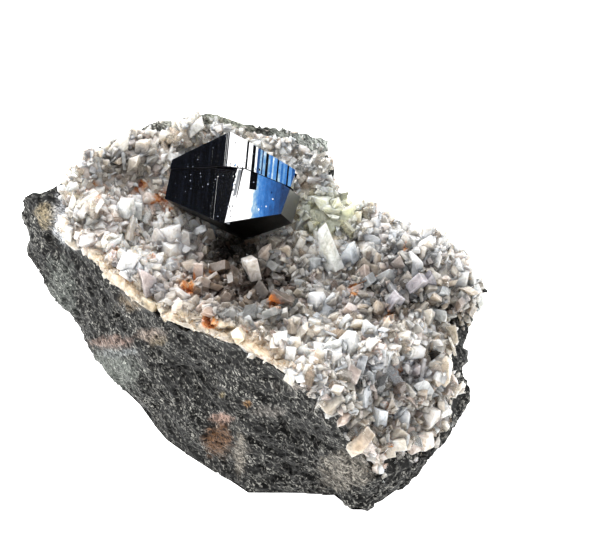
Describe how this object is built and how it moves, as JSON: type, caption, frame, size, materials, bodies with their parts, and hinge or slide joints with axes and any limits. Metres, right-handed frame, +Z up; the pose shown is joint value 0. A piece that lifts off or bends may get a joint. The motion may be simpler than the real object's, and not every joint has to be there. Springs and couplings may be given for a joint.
{
  "type": "anatase mineral specimen",
  "caption": "Mineral specimen: a blue-black anatase dipyramid on a crust of pale quartz and feldspar crystals over a block of dark gneiss.",
  "frame": {"origin": "middle of the flat underside, under the middle of the whole specimen's box", "axes": "+X along the specimen's longest side, +Z up, -Y towards the broken front wall of the block"},
  "size_m": [0.0516, 0.0396, 0.027],
  "materials": {
    "gneiss": "rough broken surface, fine speckle",
    "quartz_feldspar": "milky glassy crystal faces",
    "anatase": "mirror-bright adamantine crystal faces"
  },
  "bodies": {
    "root": {"matrix_rock": "gneiss", "crystal_crust": "quartz_feldspar", "anatase_crystal": "anatase"}
  },
  "joints": []
}
